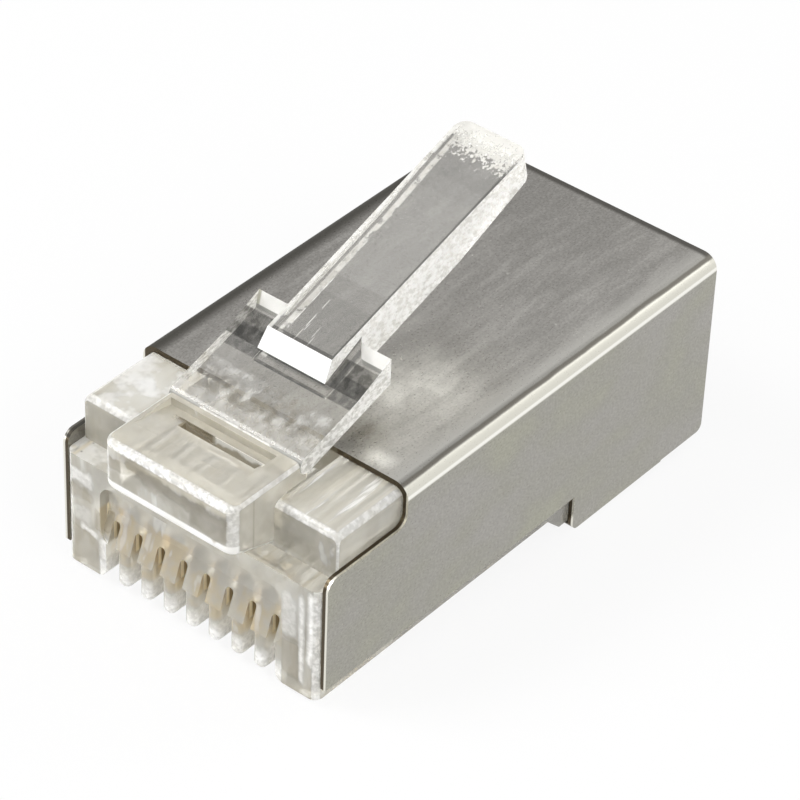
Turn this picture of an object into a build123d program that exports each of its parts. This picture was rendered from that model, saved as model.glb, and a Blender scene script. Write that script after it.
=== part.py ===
"""Shielded modular plug with eight contacts, as supplied before it is crimped to a cable.

Frame: X runs across the contacts, -Y is the end that enters the jack, and +Z is the latch side.
Y = 0 is half way along the plug and Z = 0 is the underside of its rear part.
"""
import os
from math import cos, hypot, radians, sin, tan

from build123d import *

os.makedirs("parts", exist_ok=True)

# Driving dimensions of the whole plug, in millimetres
plug_length = 22.40
shield_width = 11.74
shield_height = 7.80
sheet = 0.22
bend_radius = 0.60
fit_gap = 0.03

# Contacts and the comb that holds them
contact_count = 8
contact_pitch = 1.02
blade_thickness = 0.30
blade_length = 3.60
blade_underside = 1.95
blade_body = 1.50
blade_setback = 0.64
blade_corner = 0.35
tine_count = 3
tine_height = 0.50
tine_foot = 0.62
blade_clearance = 0.02
rib_width = 0.535
rib_flat = 0.055
rib_front_flat = 0.095
comb_slot_top = 2.55
comb_slot_length = 4.60
slit_top = 3.45

# Front of the housing, with set-backs measured from the comb face
nose_overhang = 1.10
front_lift = 1.00
ledge_height = 5.70
post_round = 0.35
web_setback = 0.45
web_slope_rise = 1.20
pocket_side_gap = 0.24
pocket_drop = 0.70
pocket_round = 0.50
shoulder_setback = 0.92
shoulder_corner = 0.12
roof_setback = 4.30
post_foot_round = 0.38
foot_radius = 0.29
foot_drop = 0.26
foot_inset = 0.56
foot_setback = 0.36

# Nose block, which carries the latch
nose_width = 5.80
nose_top = 8.35
nose_lip_rise = 0.66
nose_slope_end = 0.80
nose_rear_setback = 1.55
nose_corner = 0.50
nose_edge = 0.20
nose_lip_round = 0.34
latch_shelf = 7.60
recess_width = 4.65
recess_shift = 0.28
recess_front_setback = 0.20
recess_rear_setback = 2.00
recess_depth = 0.30
core_slot_width = 3.40
core_slot_shift = 0.10
core_slot_front = 1.18
core_slot_rear = 1.60
core_slot_floor = 7.10
core_wall = 0.35
core_wall_inset = 0.45
shoulder_gap = 0.05
latch_channel_rise = 0.60

# Conductor channels and cable cavity
channel_diameter = 0.92
channel_height = 4.30
channel_front_setback = 1.00
channel_rear_setback = 6.20
cavity_side_gap = 0.07
cavity_roof = 6.75
cavity_floor = 2.10
cavity_step_floor = 0.95
cavity_front_setback = 8.50
cavity_step_setback = 12.85
mouth_chamfer = 0.30

# Rear part of the housing
step_setback = 12.45
step_run = 0.80
rear_inset = 0.50

# Shield
panel_front_setback = 0.17
panel_front_foot = 1.55
panel_shoulder = 6.22
panel_corner = 0.45
top_plate_setback = 4.16
rear_skirt_setback = 13.62
flap_rear_setback = 18.85
flap_bend = 0.35
flap_seam = 0.30
rear_skirt_lift = 0.05
skirt_corner = 0.30

# Latch lever
pivot_setback = 2.55
pivot_height = 8.155
hinge_gap = 0.03
plate_thickness = 0.72
plate_angle = 16.8
crease_reach = 2.48
lock_reach = 4.18
lock_rise = 1.915
thumb_reach = 13.10
thumb_rise = 5.075
thumb_thickness = 0.82
neck_reach = 9.25
neck_thickness = 1.32
handle_angle = 17.6
handle_width = 3.20
handle_top_width = 2.80
thumb_flare = 0.10
handle_drop = 0.10
handle_face_rise = 0.80
handle_face_run = 0.48
tip_corner = 0.45
lock_root_round = 0.25

# Strain-relief bar
bar_setback = 9.15
bar_length = 2.55
bar_width = 5.80
bar_barrel = 0.28
bar_pivot_height = 1.84
bar_crest = 2.60

# Sizes that follow from those above
comb_face = nose_overhang - plug_length / 2
rear_end = plug_length / 2
nose_front = comb_face - nose_overhang
shoulder_front = comb_face + shoulder_setback
roof_front = comb_face + roof_setback
housing_rear = rear_end - rear_inset
nose_lip = ledge_height + nose_lip_rise
channel_half = nose_width / 2 + shoulder_gap
channel_floor = ledge_height + latch_channel_rise
pocket_top = ledge_height - pocket_drop
panel_front = comb_face + panel_front_setback
top_front = comb_face + top_plate_setback
skirt_front = comb_face + rear_skirt_setback
flap_rear = comb_face + flap_rear_setback
body_half = shield_width / 2 - sheet - fit_gap
body_floor = sheet + fit_gap
body_roof = shield_height - sheet - fit_gap
body_edge = bend_radius - sheet - fit_gap
pivot_y = comb_face + pivot_setback
barrel_radius = plate_thickness / 2
plate_slope = tan(radians(plate_angle))
handle_slope = tan(radians(handle_angle))
first_contact = -contact_pitch * (contact_count - 1) / 2
contact_xs = [first_contact + contact_pitch * i for i in range(contact_count)]
comb_span = (contact_xs[0], contact_xs[-1])
comb_slot_width = contact_pitch - rib_width
rib_round = (rib_width - rib_flat) / 2
rib_front_round = (rib_width - rib_front_flat) / 2
comb_half = contact_xs[-1] + comb_slot_width / 2
pocket_width = 2 * (comb_half + pocket_side_gap)
cavity_half = contact_xs[-1] + channel_diameter / 2 + cavity_side_gap
blade_front = comb_face + blade_setback
blade_top = blade_underside + blade_body
blade_slot_width = blade_thickness + 2 * blade_clearance
blade_slot_top = blade_top + tine_height + blade_clearance
bar_pivot_y = comb_face + bar_setback
bar_underside = front_lift + hinge_gap
bar_reach = hypot(bar_length, bar_pivot_height - bar_underside)
window_rear = bar_pivot_y + bar_reach + hinge_gap


def edges_at(builder, direction, axis, place):
    """Straight edges of one direction whose middle lies on a plane."""
    edges = builder.edges().filter_by(direction)
    return edges.filter_by_position(axis, place - 0.001, place + 0.001)


def slab(x_half, y_front, y_rear, z_low, z_high, mode=Mode.ADD):
    """A block centred on X = 0 between two Y and two Z planes."""
    with Locations((0, y_front, z_low)):
        Box(2 * x_half, y_rear - y_front, z_high - z_low, mode=mode,
            align=(Align.CENTER, Align.MIN, Align.MIN))


def plate_middle(reach):
    """Height of the latch plate's middle plane at a distance behind the pivot."""
    return pivot_height + reach * plate_slope


# Housing: one clear moulding
with BuildPart() as housing:
    # Body with its front ledge, its shoulders flush with the roof, and its lower rear part
    with BuildSketch(Plane.YZ):
        with BuildLine():
            Polyline(
                (comb_face, front_lift),
                (comb_face + step_setback, front_lift),
                (comb_face + step_setback + step_run, body_floor),
                (housing_rear, body_floor),
                (housing_rear, body_roof),
                (shoulder_front, body_roof),
                (shoulder_front, ledge_height),
                (comb_face, ledge_height),
                close=True,
            )
        make_face()
    extrude(amount=body_half, both=True)
    fillet(edges_at(housing, Axis.Z, Axis.Y, comb_face), radius=post_round)
    fillet(edges_at(housing, Axis.Z, Axis.Y, shoulder_front), radius=shoulder_corner)
    fillet(edges_at(housing, Axis.Y, Axis.Z, body_roof), radius=body_edge)
    fillet(edges_at(housing, Axis.Y, Axis.Z, body_floor), radius=flap_bend - sheet)

    # Channel between the shoulders, under the latch
    slab(channel_half, comb_face + nose_rear_setback, roof_front,
         channel_floor, body_roof, Mode.SUBTRACT)

    # Nose block with a sloping underside and a shelf for the latch root
    with BuildSketch(Plane.YZ):
        with BuildLine():
            Polyline(
                (nose_front, nose_lip),
                (comb_face + nose_slope_end, ledge_height),
                (comb_face + nose_rear_setback, ledge_height),
                (comb_face + nose_rear_setback, latch_shelf),
                (pivot_y - hinge_gap, latch_shelf),
                (pivot_y - hinge_gap, nose_top),
                (nose_front, nose_top),
                close=True,
            )
        make_face()
    extrude(amount=nose_width / 2, both=True)
    fillet(edges_at(housing, Axis.Z, Axis.Y, nose_front), radius=nose_corner)
    front_rims = housing.faces().sort_by(Axis.Y)[0].edges().filter_by(Axis.X).sort_by(Axis.Z)
    fillet(front_rims[-1], radius=nose_edge)
    front_rims = housing.faces().sort_by(Axis.Y)[0].edges().filter_by(Axis.X).sort_by(Axis.Z)
    fillet(front_rims[0], radius=nose_lip_round)

    # Wall behind the moulding core's slot
    slab(nose_width / 2 - core_wall_inset, comb_face + nose_rear_setback - fit_gap,
         comb_face + core_slot_rear + core_wall, channel_floor - fit_gap, latch_shelf)

    # Groove that the latch root turns in
    with BuildSketch(Plane.YZ):
        with Locations((pivot_y, pivot_height)):
            Circle(barrel_radius + hinge_gap)
    extrude(amount=nose_width / 2, both=True, mode=Mode.SUBTRACT)

    # Ramped recess in the nose block's top, and the moulding core's slot in its floor
    with BuildSketch(Plane.YZ.offset(-recess_shift)):
        with BuildLine():
            Polyline(
                (comb_face + recess_front_setback, nose_top),
                (comb_face + recess_rear_setback, nose_top - recess_depth),
                (comb_face + recess_rear_setback, nose_top),
                close=True,
            )
        make_face()
    extrude(amount=recess_width / 2, both=True, mode=Mode.SUBTRACT)
    with Locations((core_slot_shift, comb_face + core_slot_front, core_slot_floor)):
        Box(core_slot_width, core_slot_rear - core_slot_front, nose_top - core_slot_floor,
            mode=Mode.SUBTRACT, align=(Align.CENTER, Align.MIN, Align.MIN))

    # Pocket in the front face, over the comb, with a sloping floor
    with BuildSketch(Plane.XZ.offset(-comb_face)):
        with Locations((0, (pocket_top + comb_slot_top) / 2)):
            RectangleRounded(pocket_width, pocket_top - comb_slot_top, pocket_round)
    extrude(amount=-web_setback, mode=Mode.SUBTRACT)
    with BuildSketch(Plane.YZ):
        with BuildLine():
            Polyline(
                (comb_face, comb_slot_top),
                (comb_face + web_setback, comb_slot_top),
                (comb_face + web_setback, comb_slot_top + web_slope_rise),
                close=True,
            )
        make_face()
    extrude(amount=pocket_width / 2, both=True)

    # Comb slots, open at the front and underneath, with the blade slots above them
    for x in contact_xs:
        with Locations((x, comb_face, 0)):
            Box(comb_slot_width, comb_slot_length, comb_slot_top, mode=Mode.SUBTRACT,
                align=(Align.CENTER, Align.MIN, Align.MIN))
        with Locations((x, blade_front - blade_clearance, 0)):
            Box(blade_slot_width, blade_length + 2 * blade_clearance, blade_slot_top,
                mode=Mode.SUBTRACT, align=(Align.CENTER, Align.MIN, Align.MIN))
    with BuildSketch(Plane.XZ.offset(-comb_face)):
        with Locations([(x, slit_top / 2) for x in contact_xs]):
            RectangleRounded(blade_slot_width, slit_top, blade_slot_width * 0.45)
    extrude(amount=-blade_setback, mode=Mode.SUBTRACT)

    # Rounded undersides and front ends of the comb's ribs
    rib_edges = edges_at(housing, Axis.Y, Axis.Z, front_lift)
    fillet(rib_edges.filter_by_position(Axis.X, *comb_span), radius=rib_round)
    rib_fronts = housing.faces().filter_by(Axis.Y).filter_by_position(Axis.X, *comb_span)
    rib_fronts = rib_fronts.filter_by_position(Axis.Y, comb_face - 0.001, comb_face + 0.001)
    rib_fronts = rib_fronts.filter_by_position(Axis.Z, front_lift, comb_slot_top)
    rib_rims = [edge for front in rib_fronts for edge in front.edges()]
    rib_rims = [edge for edge in rib_rims if edge.center().Z < comb_slot_top - 0.001]
    fillet(rib_rims, radius=rib_front_round)

    # Rounded inner feet of the end posts
    for side in (-1, 1):
        post_feet = edges_at(housing, Axis.Y, Axis.X, side * comb_half)
        fillet(post_feet.sort_by(Axis.Z)[0], radius=post_foot_round)

    # Conductor channels, one over each blade
    with BuildSketch(Plane.XZ.offset(-comb_face - channel_front_setback)):
        with Locations([(x, channel_height) for x in contact_xs]):
            Circle(channel_diameter / 2)
    extrude(amount=channel_front_setback - channel_rear_setback, mode=Mode.SUBTRACT)

    # Cable cavity, which narrows to the channels and drops to its lower rear floor
    with BuildSketch(Plane.YZ):
        with BuildLine():
            Polyline(
                (comb_face + channel_rear_setback, channel_height - channel_diameter / 2),
                (comb_face + cavity_front_setback, cavity_floor),
                (comb_face + cavity_step_setback, cavity_floor),
                (comb_face + cavity_step_setback + step_run, cavity_step_floor),
                (housing_rear, cavity_step_floor),
                (housing_rear, cavity_roof),
                (comb_face + cavity_front_setback, cavity_roof),
                (comb_face + channel_rear_setback, channel_height + channel_diameter / 2),
                close=True,
            )
        make_face()
    extrude(amount=cavity_half, both=True, mode=Mode.SUBTRACT)
    rear_face = housing.faces().sort_by(Axis.Y)[-1]
    chamfer(rear_face.inner_wires()[0].edges(), length=mouth_chamfer)

    # Window for the strain-relief bar, with a groove that the bar's root turns in
    slab(bar_width / 2 + hinge_gap, bar_pivot_y, window_rear, 0, cavity_floor, Mode.SUBTRACT)
    with BuildSketch(Plane.YZ):
        with Locations((bar_pivot_y, bar_pivot_height)):
            Circle(bar_barrel + hinge_gap)
    extrude(amount=bar_width / 2 + hinge_gap, both=True, mode=Mode.SUBTRACT)

    # Small round foot under the front corner of each end post
    for side in (-1, 1):
        with Locations((side * (body_half - foot_inset), comb_face + foot_setback,
                        front_lift + foot_radius - foot_drop)):
            Sphere(foot_radius)
housing.part.label = "housing"
export_step(housing.part, "parts/housing.step")

# Contact blades: gold-plated, with a rounded nose below and piercing tines above
for number, x in enumerate(contact_xs, start=1):
    tine_gap = (blade_length - tine_foot) / (tine_count - 1)
    with BuildPart() as contact:
        with BuildSketch(Plane.YZ.offset(x - blade_thickness / 2)):
            with Locations((blade_front, blade_underside)):
                Rectangle(blade_length, blade_body, align=(Align.MIN, Align.MIN))
            for i in range(tine_count):
                tine_y = blade_front + i * tine_gap
                with BuildLine():
                    Polyline(
                        (tine_y, blade_top),
                        (tine_y + tine_foot, blade_top),
                        (tine_y + tine_foot / 2, blade_top + tine_height),
                        close=True,
                    )
                make_face()
        extrude(amount=blade_thickness)
        fillet(edges_at(contact, Axis.X, Axis.Z, blade_underside), radius=blade_corner)
    contact.part.label = f"contact_{number}"
    export_step(contact.part, f"parts/contact_{number}.step")

# Shield: one sheet folded over the top and sides, with two flaps under the rear part
with BuildPart() as shield:
    with BuildSketch(Plane.XZ.offset(-panel_front)):
        with Locations((0, shield_height / 2)):
            outline = Rectangle(shield_width, shield_height)
            top_corners = outline.vertices().group_by(Axis.Y)[-1]
            low_corners = outline.vertices().group_by(Axis.Y)[0]
        fillet(top_corners, radius=bend_radius)
        fillet(low_corners, radius=flap_bend)
    extrude(amount=panel_front - rear_end)
    with BuildSketch(Plane.XZ.offset(-panel_front)):
        with Locations((0, shield_height / 2)):
            hollow = Rectangle(shield_width - 2 * sheet, shield_height - 2 * sheet)
            top_corners = hollow.vertices().group_by(Axis.Y)[-1]
            low_corners = hollow.vertices().group_by(Axis.Y)[0]
        fillet(top_corners, radius=bend_radius - sheet)
        fillet(low_corners, radius=flap_bend - sheet)
    extrude(amount=panel_front - rear_end, mode=Mode.SUBTRACT)

    # Side outline: shoulders in front of the top plate, raised front foot, short flaps
    with BuildSketch(Plane.YZ):
        with BuildLine():
            Polyline(
                (panel_front, panel_shoulder),
                (top_front, panel_shoulder),
                (top_front, shield_height),
                (panel_front, shield_height),
                close=True,
            )
        make_face()
    extrude(amount=shield_width / 2, both=True, mode=Mode.SUBTRACT)
    slab(shield_width / 2, panel_front, skirt_front, 0, panel_front_foot, Mode.SUBTRACT)
    slab(shield_width / 2, flap_rear, rear_end, 0, rear_skirt_lift, Mode.SUBTRACT)
    slab(shield_width / 2 - flap_bend, flap_rear, rear_end, 0, sheet, Mode.SUBTRACT)
    slab(flap_seam / 2, skirt_front, flap_rear, 0, sheet, Mode.SUBTRACT)
    fillet(edges_at(shield, Axis.X, Axis.Z, panel_shoulder), radius=panel_corner)

    # Rounded lower corners of the rear skirt
    skirt_ends = [
        (skirt_front, 0, Align.MIN, 1),
        (rear_end, rear_skirt_lift, Align.MAX, -1),
    ]
    for corner_y, corner_z, along, inward in skirt_ends:
        with BuildSketch(Plane.YZ):
            with Locations((corner_y, corner_z)):
                Rectangle(skirt_corner, skirt_corner, align=(along, Align.MIN))
            with Locations((corner_y + inward * skirt_corner, corner_z + skirt_corner)):
                Circle(skirt_corner, mode=Mode.SUBTRACT)
        extrude(amount=shield_width / 2, both=True, mode=Mode.SUBTRACT)
shield.part.label = "shield"
export_step(shield.part, "parts/shield.step")

# Latch lever: plate with two locking shoulders, thumb handle and a round root
with BuildPart() as latch_lever:
    foot_y = pivot_y + crease_reach
    neck_y = pivot_y + neck_reach
    tip_y = pivot_y + thumb_reach
    tip_top = pivot_height + thumb_rise
    foot_top = tip_top - handle_slope * (tip_y - foot_y)
    neck_top = tip_top - handle_slope * (tip_y - neck_y)
    foot_bottom = plate_middle(crease_reach) - barrel_radius - handle_drop
    sections = [
        (foot_y, foot_bottom, foot_top, 0),
        (neck_y, neck_top - neck_thickness, neck_top, thumb_flare / 2),
        (tip_y, tip_top - thumb_thickness, tip_top, thumb_flare),
    ]
    for section_y, bottom, top, flare in sections:
        with BuildSketch(Plane.XZ.offset(-section_y)):
            with BuildLine():
                Polyline(
                    (-handle_width / 2 - flare, bottom),
                    (handle_width / 2 + flare, bottom),
                    (handle_top_width / 2 + flare, top),
                    (-handle_top_width / 2 - flare, top),
                    close=True,
                )
            make_face()
    loft(ruled=True)
    crease_z = plate_middle(crease_reach) + barrel_radius / cos(radians(plate_angle))
    with BuildSketch(Plane.YZ):
        with BuildLine():
            Polyline(
                (foot_y, crease_z),
                (foot_y + handle_face_run, crease_z + handle_face_rise),
                (foot_y + handle_face_run, crease_z + 3 * handle_face_rise),
                (foot_y, crease_z + 3 * handle_face_rise),
                close=True,
            )
        make_face()
    extrude(amount=handle_width, both=True, mode=Mode.SUBTRACT)
    tip_corners = latch_lever.faces().sort_by(Axis.Y)[-1].edges().filter_by(Axis.X, reverse=True)
    fillet(tip_corners, radius=tip_corner)
    with BuildSketch(Plane.YZ):
        top_shift = (-barrel_radius * sin(radians(plate_angle)), barrel_radius * cos(radians(plate_angle)))
        half_rise = barrel_radius / cos(radians(plate_angle))
        with BuildLine():
            Polyline(
                (pivot_y + top_shift[0], pivot_height + top_shift[1]),
                (foot_y, crease_z),
                (pivot_y + lock_reach, pivot_height + lock_rise),
                (pivot_y + lock_reach, plate_middle(lock_reach) - half_rise),
                (pivot_y - top_shift[0], pivot_height - top_shift[1]),
                close=True,
            )
        make_face()
        with Locations((pivot_y, pivot_height)):
            Circle(barrel_radius)
    extrude(amount=nose_width / 2, both=True)

    # Rounded inside corners where the locking faces meet the sides of the handle
    lock_edges = latch_lever.edges().filter_by_position(
        Axis.Y, pivot_y + lock_reach - 0.001, pivot_y + lock_reach + 0.001)
    lock_edges = lock_edges.filter_by_position(Axis.X, -handle_width / 2 - thumb_flare,
                                               handle_width / 2 + thumb_flare)
    fillet(lock_edges.filter_by(Axis.X, reverse=True), radius=lock_root_round)
latch_lever.part.label = "latch_lever"
export_step(latch_lever.part, "parts/latch_lever.step")

# Strain-relief bar: a wedge that folds in against the cable jacket
with BuildPart() as strain_relief_bar:
    with BuildSketch(Plane.YZ):
        with Locations((bar_pivot_y, bar_pivot_height)):
            Circle(bar_barrel)
        with BuildLine():
            Polyline(
                (bar_pivot_y + hinge_gap, bar_underside),
                (bar_pivot_y + bar_length, bar_underside),
                (bar_pivot_y + bar_length, bar_crest),
                (bar_pivot_y + hinge_gap, bar_pivot_height + bar_barrel),
                close=True,
            )
        make_face()
    extrude(amount=bar_width / 2, both=True)
strain_relief_bar.part.label = "strain_relief_bar"
export_step(strain_relief_bar.part, "parts/strain_relief_bar.step")
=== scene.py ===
"""A shielded modular plug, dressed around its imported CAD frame.

X runs across the contacts, -Y is the end that enters the jack, and +Z is the latch side.
Meshes, lamps and the camera are in metres; the materials read their places in millimetres.
"""

import bpy
from mathutils import Matrix, Vector

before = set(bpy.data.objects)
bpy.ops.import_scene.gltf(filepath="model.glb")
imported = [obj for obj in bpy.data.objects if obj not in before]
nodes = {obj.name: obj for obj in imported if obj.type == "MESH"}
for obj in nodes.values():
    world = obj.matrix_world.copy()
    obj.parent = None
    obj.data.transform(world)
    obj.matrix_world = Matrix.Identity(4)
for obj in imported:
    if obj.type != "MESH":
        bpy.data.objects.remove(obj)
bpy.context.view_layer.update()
MM = 0.001


# Table and backdrop: one flat pale card, broad enough to fill the picture.
# The plug stands on the flaps of its shield and on two small feet under its nose,
# so it leans forward, and the card is laid to touch both.
HEEL = Vector((0, 3.82, 0)) * MM
TOE = Vector((0, -9.74, 0.74)) * MM
CARD_HALF = 400 * MM
CARD_GAP = 0.01 * MM
CARD_FIBRES = 900.0
CARD_GREY = 0.93
CARD_GREY_SPREAD = 0.02
CARD_LIFT = 0.87


class Wire:
    """A shader socket that takes part in Python arithmetic, and adds the nodes that go with it."""

    def __init__(self, tree, socket):
        self.tree = tree
        self.socket = socket

    def node(self, kind, settings=None, output=0, **sockets):
        """Adds a node of any kind, with its settings first, and gives back one of its outputs."""
        made = self.tree.nodes.new(kind)
        for name, value in (settings or {}).items():
            if name == "stops":
                ramp = made.color_ramp
                while len(ramp.elements) < len(value):
                    ramp.elements.new(0.5)
                for element, (place, colour) in zip(ramp.elements, value):
                    element.position = place
                    element.color = colour
            else:
                setattr(made, name, value)
        for name, value in sockets.items():
            key = int(name[1:]) if name[0] == "i" and name[1:].isdigit() else name.replace("_", " ")
            target = made.inputs[key]
            if isinstance(value, Wire):
                self.tree.links.new(value.socket, target)
            else:
                target.default_value = value
        return Wire(self.tree, made.outputs[output])

    def math(self, operation, first, second=0.0):
        """A Math node on two numbers."""
        return self.node("ShaderNodeMath", {"operation": operation}, i0=first, i1=second)

    def __add__(self, other):
        return self.math("ADD", self, other)

    __radd__ = __add__

    def __sub__(self, other):
        return self.math("SUBTRACT", self, other)

    def __rsub__(self, other):
        return self.math("SUBTRACT", other, self)

    def __mul__(self, other):
        return self.math("MULTIPLY", self, other)

    __rmul__ = __mul__

    def __truediv__(self, other):
        return self.math("DIVIDE", self, other)

    def __neg__(self):
        return self.math("MULTIPLY", -1.0, self)

    def axes(self):
        """The three numbers of a vector."""
        split = self.node("ShaderNodeSeparateXYZ", Vector=self).socket.node
        return [Wire(self.tree, socket) for socket in split.outputs]

    def rise(self, low, high):
        """0 up to the value low and 1 from the value high, with a smooth way between."""
        return self.node("ShaderNodeMapRange", {"interpolation_type": "SMOOTHSTEP"},
                         Value=self, From_Min=low, From_Max=high)

    def fall(self, low, high):
        """1 up to the value low and 0 from the value high."""
        return 1 - self.rise(low, high)

    def size(self):
        """The number without its sign."""
        return self.math("ABSOLUTE", self)

    def most(self, other):
        """The larger of two numbers."""
        return self.math("MAXIMUM", self, other)

    def near(self, middle, reach):
        """1 at a value, falling smoothly to 0 at a distance from it."""
        return (self - middle).size().fall(0.0, reach)

    def between(self, low, high, soft):
        """1 between two values, with soft ends."""
        return self.rise(low - soft, low + soft) * self.fall(high - soft, high + soft)

    def blend(self, first, second):
        """The first colour where this mask is 0, and the second where it is 1."""
        return self.node("ShaderNodeMix", {"data_type": "RGBA"}, output=2, i0=self, i6=first, i7=second)

    def painted(self, colour, mask):
        """This colour with another one laid over it where the mask is 1."""
        return mask.blend(self, colour)

    def toned(self, *stops):
        """A colour ramp on this number; each stop is a place and a colour."""
        return self.node("ShaderNodeValToRGB", {"stops": stops}, Fac=self)

    def grain(self, stretch, detail=3.0, rough=0.55):
        """A noise pattern; stretch is how often it repeats along X, Y and Z in a metre."""
        spread = self.node("ShaderNodeMapping", Vector=self, Scale=stretch)
        return self.node("ShaderNodeTexNoise", Vector=spread, Scale=1.0, Detail=detail, Roughness=rough)

    def into(self, node, name):
        """Links this socket to an input of a node."""
        self.tree.links.new(self.socket, node.inputs[name])


def new_finish(name):
    """A material with a Principled shader, and the coordinates of the object that wears it."""
    material = bpy.data.materials.new(name)
    material.use_nodes = True
    tree = material.node_tree
    shader = tree.nodes["Principled BSDF"]
    coordinates = tree.nodes.new("ShaderNodeTexCoord")
    return material, shader, Wire(tree, coordinates.outputs["Object"])


def put_on(obj, material):
    """Gives an object one material."""
    obj.data.materials.clear()
    obj.data.materials.append(material)


def seen_or_mirrored(tree):
    """1 for rays from the camera, from a gloss and through clear plastic, 0 for plain light."""
    path = tree.nodes.new("ShaderNodeLightPath")
    direct, mirrored, through = [
        Wire(tree, path.outputs[name]) for name in ("Is Camera Ray", "Is Glossy Ray", "Is Transmission Ray")]
    return direct.most(mirrored.most(through))


def mixed(tree, mask, first, second):
    """A Mix Shader between the outputs of two shaders, by a mask."""
    mixer = tree.nodes.new("ShaderNodeMixShader")
    mask.into(mixer, 0)
    tree.links.new(first.outputs[0], mixer.inputs[1])
    tree.links.new(second.outputs[0], mixer.inputs[2])
    return mixer


def covered_by(tree, shader):
    """Makes a shader the surface of its material."""
    tree.links.new(shader.outputs[0], tree.nodes["Material Output"].inputs["Surface"])


card_finish, card_shader, card_place = new_finish("white_card")
card_shader.inputs["Roughness"].default_value = 0.9
card_shader.inputs["Specular IOR Level"].default_value = 0.1
card_fibre = card_place.node("ShaderNodeTexNoise", Vector=card_place, Scale=CARD_FIBRES, Detail=3.0)
card_tone = card_fibre * CARD_GREY_SPREAD + CARD_GREY
card_colour = card_tone.node("ShaderNodeCombineColor", Red=card_tone, Green=card_tone, Blue=card_tone)
card_colour.into(card_shader, "Base Color")
card_tree = card_finish.node_tree
card_glow = card_tree.nodes.new("ShaderNodeEmission")
card_glow.inputs["Strength"].default_value = 1.0
card_lift = seen_or_mirrored(card_tree) * CARD_LIFT
covered_by(card_tree, mixed(card_tree, card_lift, card_shader, card_glow))

bpy.ops.object.select_all(action="DESELECT")
bpy.ops.mesh.primitive_plane_add(size=2 * CARD_HALF)
card = bpy.context.object
card.name = "white_card"
lean = (HEEL - TOE).normalized()
card_up = Vector((1, 0, 0)).cross(lean)
card_turn = Matrix((Vector((1, 0, 0)), lean, card_up)).transposed().to_4x4()
card.data.transform(Matrix.Translation(HEEL - card_up * CARD_GAP) @ card_turn)
put_on(card, card_finish)


# Housing: one moulding in clear polycarbonate, injected in a polished tool.
# Seen on its flats it is faintly beige; painted highlights make its rounded edges, lip, brow and the tips of the
# comb shine white, and a painted reflection of the gold contacts tints the comb.
PLASTIC_IOR = 1.5
HOUSING_CLEAR = 0.80
HOUSING_LAMP_LIGHT = 0.5
HOUSING_FROST_ROUGH = 0.45

# Places on the housing, in millimetres
NOSE_END = (-6.2, -5.8)
NOSE_TOP = (7.92, 8.0)
COMB_TOP = (3.9, 4.1)
COMB_SIDE = (4.05, 4.15)
COMB_REAR = (-8.9, -8.5)
SHOULDER_TOP = (7.42, 7.62)
SHOULDER_LEFT = (-3.2, -3.0)
SHOULDER_RIGHT = (2.9, 3.1)
SHOULDER_FRONT = (-9.6, -9.4)
LEDGE_TOP = (6.0, 6.1)
LIP = (6.30, 6.74)
BROW = (8.10, 8.42)
SLOT_OF_NOSE_Y = (-8.96, -8.46)
SLOT_OF_NOSE_Z = (7.0, 8.14)
SLOT_OF_NOSE_SHADE = (-1.90, -0.40)
DIRT_Y = (-9.82, -9.23)
DIRT_X = -5.13
DIRT_REACH = 0.07

# Colours of the clear body and of its frosted skin
BODY_BEIGE = (0.88, 0.85, 0.76, 1)
BODY_CLEAR = (1.0, 0.985, 0.93, 1)
OLIVE = (0.52, 0.49, 0.40, 1)
DARK_OLIVE = (0.42, 0.39, 0.30, 1)
DRAWN_BEIGE = (0.62, 0.58, 0.47, 1)
GOLD_REFLECTION = (0.86, 0.66, 0.34, 1)
POST_BEIGE = (0.50, 0.455, 0.355, 1)
SHOULDER_BEIGE = (0.50, 0.465, 0.375, 1)
NOSE_BEIGE = (0.74, 0.70, 0.60, 1)
CREASE_GREY = (0.40, 0.37, 0.31, 1)
PIT_SHADE = (0.30, 0.25, 0.17, 1)
TOOTH_SIDE_SHADE = (0.60, 0.55, 0.43, 1)
SLOT_GOLD_REFLECTION = (1.0, 0.90, 0.66, 1)
SLOT_SHADE = (0.36, 0.28, 0.17, 1)
FROST_GREY = (0.93, 0.92, 0.88, 1)
FROST_WHITE = (1.0, 1.0, 0.99, 1)
MILK = (0.93, 0.895, 0.79, 1)
GOLDEN_MILK = (0.90, 0.78, 0.55, 1)
HIGHLIGHT_WHITE = (0.98, 0.975, 0.95, 1)
SHADE_BROWN = (0.40, 0.365, 0.29, 1)
LEDGE_CREAM = (0.82, 0.74, 0.58, 1)
DIRT = (0.10, 0.09, 0.08, 1)

# Painted highlights and painted shade on the front faces, each from X to X, from Z to Z, and how strong it is
PAINTED_HIGHLIGHTS = (
    (-5.50, -4.40, 4.45, 5.30, 0.65),
    (-5.35, -4.45, 2.75, 3.70, 0.35),
    (-4.95, -4.20, 2.48, 2.78, 0.8),
    (-4.10, -3.45, 1.70, 2.55, 0.75),
    (4.05, 4.72, 3.40, 5.00, 0.45),
    (4.82, 5.02, 1.60, 5.40, 0.85),
    (5.18, 5.44, 2.60, 5.60, 1.0),
)
PAINTED_SHADES = (
    (-5.55, -4.35, 4.02, 4.30, 0.45),
    (-5.35, -4.15, 1.15, 2.48, 0.40),
    (-4.28, -3.75, 3.00, 3.90, 0.65),
    (4.12, 4.80, 1.50, 3.10, 0.45),
    (4.10, 4.80, 3.12, 3.35, 0.30),
    (-2.60, 2.60, 7.35, 7.90, 0.34),
    (1.00, 2.60, 6.75, 7.60, 0.30),
)
PAINTED_LIGHT_SOFT = 0.16


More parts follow.
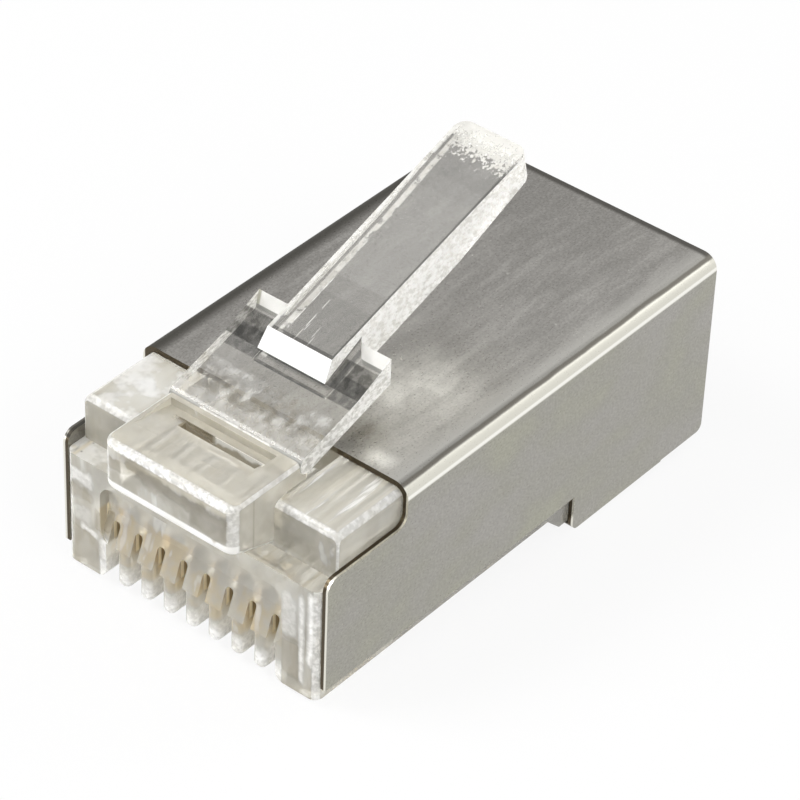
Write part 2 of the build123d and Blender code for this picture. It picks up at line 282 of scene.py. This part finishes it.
def over_frost(material, shader, frost_mask, frost_colour, frost_rough, clearness):
    """Lays a frosted skin over clear plastic where the mask is 1, and lets lamp light through the rest."""
    tree = material.node_tree
    skin = tree.nodes.new("ShaderNodeBsdfPrincipled")
    skin.inputs["Roughness"].default_value = frost_rough
    frost_colour.into(skin, "Base Color")
    plastic = mixed(tree, frost_mask, shader, skin)
    path = tree.nodes.new("ShaderNodeLightPath")
    passing = Wire(tree, path.outputs["Is Shadow Ray"]) * (1 - frost_mask) * clearness
    covered_by(tree, mixed(tree, passing, plastic, tree.nodes.new("ShaderNodeBsdfTransparent")))


def placed(place):
    """The object's own X, Y and Z in millimetres, and the X, Y and Z of its surface's normal."""
    normal = Wire(place.tree, place.socket.node.outputs["Normal"])
    return [part / MM for part in place.axes()] + normal.axes()


def strongest(masks):
    """The largest of several masks at each place."""
    first, *others = masks
    for mask in others:
        first = first.most(mask)
    return first


moulding, moulding_shader, place = new_finish("housing_polycarbonate")
moulding_shader.inputs["Transmission Weight"].default_value = HOUSING_CLEAR
moulding_shader.inputs["IOR"].default_value = PLASTIC_IOR
x, y, z, nx, ny, nz = placed(place)

# Its patterns
clouds = place.grain((700.0, 700.0, 700.0), 2.0)
patches = place.grain((900.0, 900.0, 700.0), 3.0, 0.5)
flow = place.grain((2800.0, 260.0, 500.0), 3.0)
fall_lines = place.grain((1800.0, 600.0, 500.0), 2.0)
sparkle = place.grain((4800.0, 4800.0, 4800.0), 2.0)
glint = sparkle.rise(0.36, 0.66)

# Its faces and forms
front = (-ny).rise(0.6, 0.95)
upward = nz.rise(0.6, 0.95)
near = y.fall(*NOSE_END)
nose = near * z.rise(*NOSE_TOP)
corner = near * nx.size().most(ny.size().most(nz.size())).fall(0.90, 0.985)
comb = z.fall(*COMB_TOP) * x.size().fall(*COMB_SIDE) * y.fall(*COMB_REAR)
roof = upward * z.between(*SHOULDER_TOP, 0.04)
posts = x.size().rise(4.1, 4.2) * front
band = front * z.between(7.55, 8.05, 0.16) * y.fall(-11.0, -10.8)
beside = nx.rise(0.8, 0.95) * near * z.rise(6.0, 6.3)
pit = y.between(*SLOT_OF_NOSE_Y, 0.02) * z.between(*SLOT_OF_NOSE_Z, 0.02) * x.size().fall(2.0, 2.1)
# Painted light over the right part of the slot in the nose, which would sit in shade
lit_pit = pit * x.rise(-0.35, -0.20)
outline = comb * (-nx).rise(0.35, 0.7)
slot_wall = nx.rise(0.7, 0.9) * comb * z.rise(2.5, 2.7) * y.rise(-9.80, -9.74)
slot_depth = slot_wall * y.rise(-9.64, -9.58)
lip = z.between(*LIP, 0.05) * y.fall(-10.92, -10.80)
brow = z.between(*BROW, 0.05) * y.fall(-11.02, -10.90)
tips = z.fall(1.35, 2.30) * comb * nx.rise(-0.6, -0.2)
ledge = upward * near * z.fall(*LEDGE_TOP) * x.fall(-4.1, -4.0)

# The colour of the clear body
olive = (1 - patches).rise(0.38, 0.66) * front
# Painted reflection: gold patches on the comb stand in for the gold contacts reflected in it
gold_reflection = comb * z.rise(1.7, 2.3) * patches.rise(0.42, 0.60) * 0.75
tint = clouds.toned((0.35, BODY_BEIGE), (0.65, BODY_CLEAR))
for colour, mask in (
    # Olive patches of random tone on the front faces, made strong on the nose front as painted shade
    (OLIVE, olive * (0.20 + 0.75 * z.rise(6.6, 6.9))),
    (DRAWN_BEIGE, (1 - flow).rise(0.50, 0.64) * upward * 0.55),
    (GOLD_REFLECTION, gold_reflection * 0.9),
    (POST_BEIGE, posts * (1 - fall_lines).rise(0.46, 0.60) * 0.7),
    (SHOULDER_BEIGE, front * y.rise(*SHOULDER_FRONT) * z.rise(5.8, 6.0) * 0.75),
    # Painted shade: a dark olive band across the front just under the brow
    (DARK_OLIVE, band * (0.45 + 0.5 * (1 - patches).rise(0.40, 0.60))),
    (NOSE_BEIGE, nose.most(beside) * 0.55),
    (CREASE_GREY, beside * y.near(-10.2, 0.07)),
    # Painted shade in the left part of the slot in the nose
    (PIT_SHADE, pit * x.between(*SLOT_OF_NOSE_SHADE, 0.05)),
    # Painted shade on the comb's faces whose normal points to -X
    (TOOTH_SIDE_SHADE, outline * 0.8),
    # Painted reflection of the gold blades on the slot walls, and painted shade deeper in the slots
    (SLOT_GOLD_REFLECTION, slot_wall),
    (SLOT_SHADE, slot_depth),
):
    tint = tint.painted(colour, mask)
tint.into(moulding_shader, "Base Color")
(sparkle * 0.14 + 0.05).into(moulding_shader, "Roughness")

# The painted highlights and shade on its front faces: soft patches whose edges wander with the patterns
across = x + (fall_lines - 0.5) * 0.10
upright_place = z + (patches - 0.5) * 1.4
highlight_paint, shade_paint = [
    front * near * strongest(
        across.between(x_low, x_high, PAINTED_LIGHT_SOFT) * upright_place.between(z_low, z_high, PAINTED_LIGHT_SOFT) * strength
        for x_low, x_high, z_low, z_high, strength in marks)
    for marks in (PAINTED_HIGHLIGHTS, PAINTED_SHADES)]
cream_mark = ledge * x.near(-5.24, 0.16)
dirt = (y.near(DIRT_Y[0], DIRT_REACH) + y.near(DIRT_Y[1], DIRT_REACH)) * x.near(DIRT_X, DIRT_REACH) * ledge

# Where it is frosted, how much, and in which colour
glitter = 0.30 * glint
wall_light = fall_lines.rise(0.46, 0.66) * patches.rise(0.42, 0.62) * front
left_top = upward * x.fall(*SHOULDER_LEFT) * y.fall(-6.2, -5.9) * patches.rise(0.38, 0.60)
right_top = flow.rise(0.50, 0.62) * roof * x.rise(*SHOULDER_RIGHT) * near
# Painted highlights: the lip, the brow, the tips of the comb, the rounded corners and streaks on the front walls
# are frosted white
frost = strongest((
    lip * 0.9,
    brow * (0.45 + 0.50 * glint),
    tips * (0.58 + 0.35 * glint),
    corner * (1 - comb) * (0.38 + glitter),
    left_top * 0.55,
    right_top * 0.75,
    wall_light * 0.35,
    slot_wall * 0.8,
))
milk = near * (1 - pit) * (0.16 + 0.06 * patches.rise(0.40, 0.66))
milk_only = milk.rise(0.0, 0.02) * frost.fall(0.10, 0.25)
frost = strongest((
    frost,
    milk,
    highlight_paint * (0.7 + glitter),
    shade_paint,
    ledge * x.fall(-5.5, -5.3) * 0.7,
    lit_pit * 0.7,
    cream_mark * 0.6,
    dirt,
    roof * near * x.rise(*SHOULDER_RIGHT) * 0.30,
))
white = clouds.rise(0.35, 0.65).blend(FROST_GREY, FROST_WHITE)
for colour, mask in (
    (MILK, milk_only),
    (GOLDEN_MILK, milk_only * gold_reflection),
    # Painted reflection of the gold blades on the slot walls, and painted shade deeper in the slots
    (SLOT_GOLD_REFLECTION, slot_wall),
    (SLOT_SHADE, slot_depth),
    (HIGHLIGHT_WHITE, highlight_paint.rise(0.05, 0.3)),
    (SHADE_BROWN, shade_paint.rise(0.05, 0.3)),
    (LEDGE_CREAM, cream_mark),
    (DIRT, dirt),
):
    white = white.painted(colour, mask)
over_frost(moulding, moulding_shader, frost, white, HOUSING_FROST_ROUGH, HOUSING_LAMP_LIGHT)
put_on(nodes["housing"], moulding)
put_on(nodes["strain_relief_bar"], moulding)


# Latch: a tongue moulded with the housing, polished above and below and left as the tool cut it on
# its sides, which scatter light and look white through the clear top.
LATCH_CLEAR = 0.95
LATCH_LAMP_LIGHT = 0.85
LATCH_FROST_ROUGH = 0.5

# Places on the latch, in millimetres
LATCH_FOOT = -5.07
RAMP_REAR = -4.02
WING_FRONT = (-6.15, -5.95)
WING_INSIDE = (1.48, 1.56)
FOREHEAD_DEPTH = 0.07
HANDLE_LIT_END = (-1.85, -1.75)
HANDLE_GREY = (3.15, 3.30)
HANDLE_MIDDLE = -4.6
HANDLE_FLARE = 0.006
HANDLE_SIDE = 1.30
TIP_FROST = (4.70, 5.15)
TIP_END = (4.9, 5.2)
TIP_SCATTER = 2.6

# Scratches on the handle: X, half width, from Y, to Y, and how strong each is
HAIRS = (
    (-0.78, 0.04, -4.20, -2.00, 1.0),
    (-0.22, 0.035, -4.35, -3.40, 0.7),
    (0.20, 0.035, -4.30, -3.80, 0.6),
)

# Colours of its clear body and of its frosted sides
HAZE_GREY = (0.80, 0.79, 0.76, 1)
HAZE_CLEAR = (0.95, 0.94, 0.91, 1)
RAMP_SHADE = (0.07, 0.068, 0.060, 1)
HANDLE_LIGHT = (1.0, 0.995, 0.98, 1)
HANDLE_SHADE = (0.72, 0.715, 0.695, 1)
HANDLE_END_SHADE = (0.84, 0.835, 0.82, 1)
EDGE_LINE_SHADE = (0.07, 0.07, 0.065, 1)
ROOT_BEIGE = (0.62, 0.55, 0.42, 1)
SIDE_GREY = (0.82, 0.80, 0.74, 1)
SIDE_WHITE = (1.0, 0.995, 0.965, 1)
TIP_GREY = (0.84, 0.83, 0.79, 1)
FACE_HIGHLIGHT = (1.0, 1.0, 0.99, 1)
STEP_SHADE = (0.10, 0.10, 0.09, 1)
STOP_OLIVE = (0.52, 0.51, 0.42, 1)
STOP_SHADOW = (0.26, 0.26, 0.24, 1)

latch_plastic, latch_shader, place = new_finish("latch_polycarbonate")
latch_shader.inputs["Transmission Weight"].default_value = LATCH_CLEAR
latch_shader.inputs["IOR"].default_value = PLASTIC_IOR
x, y, z, nx, ny, nz = placed(place)

# Its patterns
haze = place.grain((900.0, 260.0, 900.0), 2.0)
speck = place.grain((3600.0, 2600.0, 3600.0), 3.0)
blots = place.grain((2200.0, 1300.0, 2200.0), 3.0)
fleck = place.grain((9000.0, 7000.0, 9000.0), 2.0)
run = place.grain((5200.0, 3400.0, 5200.0), 3.0, 0.65)

# Its faces and forms; a face that is also seen through the plastic is told by the size of its normal
wing = x.size().rise(*WING_INSIDE)
flat = nz.rise(0.5, 0.8)
facing_ends = ny.size().rise(0.5, 0.7)
ramp = y.between(LATCH_FOOT, RAMP_REAR, 0.03) * wing * flat
forehead = y.between(LATCH_FOOT - FOREHEAD_DEPTH, LATCH_FOOT + 0.1, 0.02) * flat * (1 - wing)
handle = nz.rise(0.6, 0.9) * (1 - wing) * y.rise(LATCH_FOOT + 0.2, LATCH_FOOT + 0.4)
handle_lit_end = y.rise(*HANDLE_LIT_END)
flare = (y - HANDLE_MIDDLE) * HANDLE_FLARE
left_band = handle * (x + flare).fall(-HANDLE_SIDE, -1.20) * speck.rise(0.30, 0.50)
rim = handle * (x - flare).rise(HANDLE_SIDE, 1.36).most(y.fall(-4.53, -4.48))
hair = handle * speck.rise(0.38, 0.50) * strongest(
    x.near(middle, reach) * y.between(y_low, y_high, 0.1) * strength
    for middle, reach, y_low, y_high, strength in HAIRS)
mottled = y.fall(*WING_FRONT) * flat
tip_zone = handle * (y + (fleck - 0.5) * TIP_SCATTER).rise(*TIP_FROST)
tip_end = y.rise(*TIP_END) * handle
upright = nz.size().fall(0.55, 0.75)
stop_face = ny.size().rise(0.6, 0.9) * x.size().rise(1.5, 1.6) * y.fall(-3.2, -3.0)
handle_front = facing_ends * y.between(-5.3, -4.2, 0.1) * z.rise(9.15, 9.25)
foot_step = facing_ends * y.near(LATCH_FOOT, 0.2).rise(0.1, 0.3) * z.fall(8.75, 8.85)
root = y.fall(-7.35, -7.15)

# The colour of its clear body
veil = haze.toned((0.35, HAZE_GREY), (0.65, HAZE_CLEAR))
for colour, mask in (
    # Painted shade on the ramps and along the handle's foot
    (RAMP_SHADE, ramp.most(forehead) * (0.70 + 0.30 * speck.rise(0.35, 0.6))),
    # Painted light and shade along the handle top: light toward its end, shaded nearer the foot and darker at the
    # far end
    (HANDLE_LIGHT, handle * handle_lit_end * 0.7),
    (HANDLE_SHADE, handle * (1 - handle_lit_end) * 0.8),
    (HANDLE_END_SHADE, handle * y.rise(*HANDLE_GREY) * 0.8),
    # Painted shade: a dark line along the handle's right edge and near its foot
    (EDGE_LINE_SHADE, rim * 0.85),
    (ROOT_BEIGE, mottled * blots.rise(0.45, 0.70) * 0.5),
):
    veil = veil.painted(colour, mask)
veil.into(latch_shader, "Base Color")
(speck * 0.08 + 0.02).into(latch_shader, "Roughness")

# Where it is frosted, how much, and in which colour
frost = strongest((
    upright * (0.50 + 0.35 * run.rise(0.35, 0.62)),
    stop_face,
    handle_front,
    tip_zone * 0.60,
    mottled * (1 - blots).rise(0.44, 0.74) * 0.35,
    root * 0.22,
    left_band * 0.6,
    hair * 0.6,
    foot_step,
))
white = run.rise(0.32, 0.62).blend(SIDE_GREY, SIDE_WHITE)
for colour, mask in (
    (TIP_GREY, tip_end),
    # Painted highlight: the stop faces and the handle's front face are frosted white as if lit
    (FACE_HIGHLIGHT, stop_face.most(handle_front)),
    # Painted shade on the small step under the handle's foot
    (STEP_SHADE, foot_step),
    (STOP_OLIVE, stop_face * x.fall(-2.82, -2.74)),
    # Painted shadow on the lower part of the stop faces
    (STOP_SHADOW, stop_face * z.fall(9.24, 9.30)),
):
    white = white.painted(colour, mask)
over_frost(latch_plastic, latch_shader, frost, white, LATCH_FROST_ROUGH, LATCH_LAMP_LIGHT)
put_on(nodes["latch_lever"], latch_plastic)


# Shield: nickel-plated copper alloy sheet, cut, folded over the housing and closed under it.
# The plating has a fine tooth and a few small specks, a painted sheen makes it pale beside the right bend and
# painted highlights bright on it, and the cut edges show the dark base metal inside a painted bright rim.
SHEET_OUT = 5.85
SHEET_REAR = 11.2
RIM_WIDTH = (0.08, 0.05)
LATCH_HALF = (2.75, 2.9)

# Places of its folds, in millimetres across the plug
LEFT_FOLD = (-5.50, -4.80)
SHEEN_BAND = (4.70, 5.30)
FOLD_SHADE = (5.32, 5.46)
FOLD_LINE = (5.49, 5.63)
FOLD_LIGHT = (5.60, 5.68)
REAR_LINE = (10.84, 11.04)

# Colours of the plating
SIDE_TONES = ((0.35, (0.365, 0.352, 0.325, 1)), (0.5, (0.350, 0.340, 0.298, 1)), (0.65, (0.372, 0.366, 0.300, 1)))
TOP_TONES = ((0.15, (0.235, 0.226, 0.212, 1)), (0.5, (0.270, 0.259, 0.243, 1)),
             (0.7, (0.318, 0.306, 0.287, 1)), (0.98, (0.450, 0.435, 0.400, 1)))
REFLECTION_PALE = (0.86, 0.845, 0.79, 1)
SHADOW_BROWN = (0.20, 0.185, 0.150, 1)
SPECK = (0.60, 0.59, 0.55, 1)
ROLLED_DARK = (0.16, 0.155, 0.14, 1)
ROLLED_PALE = (0.78, 0.77, 0.72, 1)
TOOTH_DARK = (0.15, 0.145, 0.13, 1)
TOOTH_PALE = (0.80, 0.79, 0.73, 1)
BAND_SHEEN = (0.44, 0.43, 0.40, 1)
BAND_SHADE = (0.26, 0.255, 0.235, 1)
FOLD_HIGHLIGHT_CREAM = (0.70, 0.685, 0.61, 1)
FOLD_HIGHLIGHT_WHITE = (0.95, 0.94, 0.88, 1)
FOLD_SHADE_DARK = (0.058, 0.054, 0.046, 1)
LINE_SHADE = (0.12, 0.113, 0.098, 1)
CUT_DARK = (0.085, 0.068, 0.045, 1)
CUT_UNDER_LATCH = (0.42, 0.39, 0.31, 1)
RIM_HIGHLIGHT = (0.80, 0.78, 0.70, 1)
SHADE_SKIN = (0.050, 0.047, 0.040, 1)

plating, plating_shader, place = new_finish("nickel_plating")
plating_shader.inputs["Metallic"].default_value = 1.0
x, y, z, nx, ny, nz = placed(place)
half = x.size()

# Its patterns
mottle = place.grain((420.0, 240.0, 420.0), 2.0)
tooth = place.grain((14000.0, 9000.0, 14000.0), 2.0)
blotch = place.grain((500.0, 500.0, 500.0), 3.0)
specks = place.grain((3600.0, 3600.0, 3600.0), 1.0).rise(0.74, 0.79)
scratch = place.grain((2600.0, 420.0, 2600.0), 2.0, 0.65)

# Its faces, folds, painted reflections and shadow, and cut edges
top = nz.rise(0.6, 0.95)
rounding = nz.rise(0.5, 0.6)
# Painted reflection: pale blotches on the top near the latch
painted_reflection = x.near(2.8, 2.5) * y.near(-1.9, 3.2) * (0.45 + 0.55 * blotch.rise(0.35, 0.6))
painted_reflection = painted_reflection.most(x.near(4.2, 0.9) * y.near(-5.4, 0.6) * blotch.rise(0.35, 0.5))
# Painted shadow: a darker brownish patch on the top beside the latch
painted_shadow = x.near(2.9, 1.0) * y.near(-4.7, 1.3) * blotch.rise(0.30, 0.5)
left_fold = x.fall(*LEFT_FOLD) * nz.rise(0.40, 0.58)
rear_line = y.rise(*REAR_LINE) * top
fold_line = (x + (blotch - 0.5) * 0.12).between(*FOLD_LINE, 0.04) * rounding
fold_light = x.rise(*FOLD_LIGHT) * nz.rise(0.05, 0.15)
panel_edge = nx.size().fall(0.3, 0.6) * z.rise(0.5, 0.6) * z.fall(6.7, 6.9)
cut = (-ny).rise(0.7, 0.95).most(panel_edge)
rim = half.rise(SHEET_OUT - RIM_WIDTH[0], SHEET_OUT - RIM_WIDTH[1])

# The colour of the plating
# Painted light and shade: the top gets darker tones than the sides, with a painted sheen that grows toward the
# right and the front
sheen = (x + SHEET_OUT) * 0.05 + (SHEET_REAR - y) * 0.03 + (mottle - 0.5) * 0.35
metal = top.blend(mottle.toned(*SIDE_TONES), sheen.toned(*TOP_TONES))
for colour, mask in (
    (REFLECTION_PALE, painted_reflection * top),
    (SHADOW_BROWN, painted_shadow * top * 0.8),
    (SPECK, specks * top * 0.55),
    (ROLLED_DARK, (1 - scratch).rise(0.44, 0.66) * top * 0.22),
    (ROLLED_PALE, scratch.rise(0.50, 0.72) * top * 0.10),
    (TOOTH_DARK, (1 - tooth).rise(0.40, 0.66) * 0.14),
    (TOOTH_PALE, tooth.rise(0.45, 0.70) * 0.10),
    # Painted sheen beside the right bend, painted shade at its top, and painted highlights on it
    (BAND_SHEEN, x.rise(*SHEEN_BAND) * rounding * (1 - y.rise(-9.0, 11.0) * 0.35)),
    (BAND_SHADE, x.rise(*FOLD_SHADE) * rounding),
    (FOLD_HIGHLIGHT_CREAM, fold_light),
    (FOLD_HIGHLIGHT_WHITE, fold_light * nz.fall(0.22, 0.34)),
    # Painted shade along the left fold and the rear edge of the top
    (FOLD_SHADE_DARK, (left_fold * 0.92).most(rear_line * 0.85)),
    # Painted shade: a thin dark line along the right bend
    (LINE_SHADE, fold_line),
    (CUT_DARK, cut),
    (CUT_UNDER_LATCH, cut * half.fall(*LATCH_HALF) * (0.35 + 0.65 * blotch.rise(0.42, 0.56))),
    # Painted highlight: a bright rim at the outer side of the cut edges
    (RIM_HIGHLIGHT, cut * rim),
):
    metal = metal.painted(colour, mask)
metal.into(plating_shader, "Base Color")
(tooth * 0.10 + 0.24).into(plating_shader, "Roughness")

# Painted shade: a dull dark skin over the left fold, where bare metal would flash along the outline
plating_tree = plating.node_tree
shade_skin = plating_tree.nodes.new("ShaderNodeBsdfPrincipled")
shade_skin.inputs["Base Color"].default_value = SHADE_SKIN
shade_skin.inputs["Roughness"].default_value = 0.7
shade_skin.inputs["Specular IOR Level"].default_value = 0.15
covered_by(plating_tree, mixed(plating_tree, left_fold * 0.9, plating_shader, shade_skin))
put_on(nodes["shield"], plating)


# Contact blades: gold-plated phosphor bronze, pressed up into the comb.
# On the sheared front edge the plating is bright on one side, and painted shade darkens the other.
CONTACT_COUNT = 8
CONTACT_PITCH = 1.02
GOLD_DEEP = (0.88, 0.68, 0.34, 1)
GOLD_PALE = (1.0, 0.86, 0.55, 1)
BLADE_EDGE_SHADE = (0.42, 0.31, 0.17, 1)

gilding, gilding_shader, place = new_finish("gold_plating")
gilding_shader.inputs["Metallic"].default_value = 1.0
x, y, z, nx, ny, nz = placed(place)
rolled = place.grain((1500.0, 1500.0, 7000.0), 3.0)
pitches = x / CONTACT_PITCH + CONTACT_COUNT / 2
blade_edge_shade = pitches.math("FRACT", pitches).rise(0.36, 0.42) * (-ny).rise(0.3, 0.7)
gold = rolled.toned((0.3, GOLD_DEEP), (0.7, GOLD_PALE)).painted(BLADE_EDGE_SHADE, blade_edge_shade)
gold.into(gilding_shader, "Base Color")
(rolled * 0.15 + 0.18).into(gilding_shader, "Roughness")
for number in range(1, CONTACT_COUNT + 1):
    put_on(nodes[f"contact_{number}"], gilding)


# Studio: a broad soft lamp over the left shoulder, a low one in front, one on the right and one
# behind, in an even pale surround. Each lamp has its place and width in millimetres, and its watts.
LAMPS = {
    "over_left": ((-150, -120, 220), 120, 0.36),
    "low_front": ((-136, -234, 75), 90, 0.17),
    "on_the_right": ((200, -60, 165), 120, 0.22),
    "behind": ((60, 230, 120), 200, 0.16),
}
PLUG_MIDDLE = Vector((0, 0, 4)) * MM
SURROUND_LIGHT = 0.45
SURROUND_SEEN = 1.0

for name, (lamp_place, lamp_width, watts) in LAMPS.items():
    lamp = bpy.data.lights.new(name, "AREA")
    lamp.shape = "SQUARE"
    lamp.size = lamp_width * MM
    lamp.energy = watts
    holder = bpy.data.objects.new(name, lamp)
    bpy.context.scene.collection.objects.link(holder)
    holder.location = Vector(lamp_place) * MM
    holder.rotation_mode = "QUATERNION"
    holder.rotation_quaternion = (PLUG_MIDDLE - holder.location).to_track_quat("-Z", "Y")

world = bpy.data.worlds.new("studio")
world.use_nodes = True
bpy.context.scene.world = world
surround = world.node_tree.nodes["Background"]
surround.inputs["Color"].default_value = (1, 1, 1, 1)
surround_light = seen_or_mirrored(world.node_tree) * (SURROUND_SEEN - SURROUND_LIGHT) + SURROUND_LIGHT
surround_light.into(surround, "Strength")


# Camera: where the photograph was taken from, solved from the pitch of the contacts.
CAMERA_PLACE = Vector((65.899, -82.842, 88.270)) * MM
CAMERA_RIGHT = Vector((0.76929191, 0.63808019, 0.03230537))
CAMERA_UP = Vector((-0.41479383, 0.46035282, 0.78487028))
camera_data = bpy.data.cameras.new("camera")
camera_data.sensor_width = 36
camera_data.lens = 174.78
camera_data.clip_start = 10 * MM
camera_data.clip_end = 10
camera = bpy.data.objects.new("camera", camera_data)
bpy.context.scene.collection.objects.link(camera)
camera.location = CAMERA_PLACE
camera.rotation_mode = "QUATERNION"
camera_turn = Matrix((CAMERA_RIGHT, CAMERA_UP, CAMERA_RIGHT.cross(CAMERA_UP))).transposed()
camera.rotation_quaternion = camera_turn.to_quaternion()
bpy.context.scene.camera = camera
bpy.context.scene.view_settings.view_transform = "Standard"
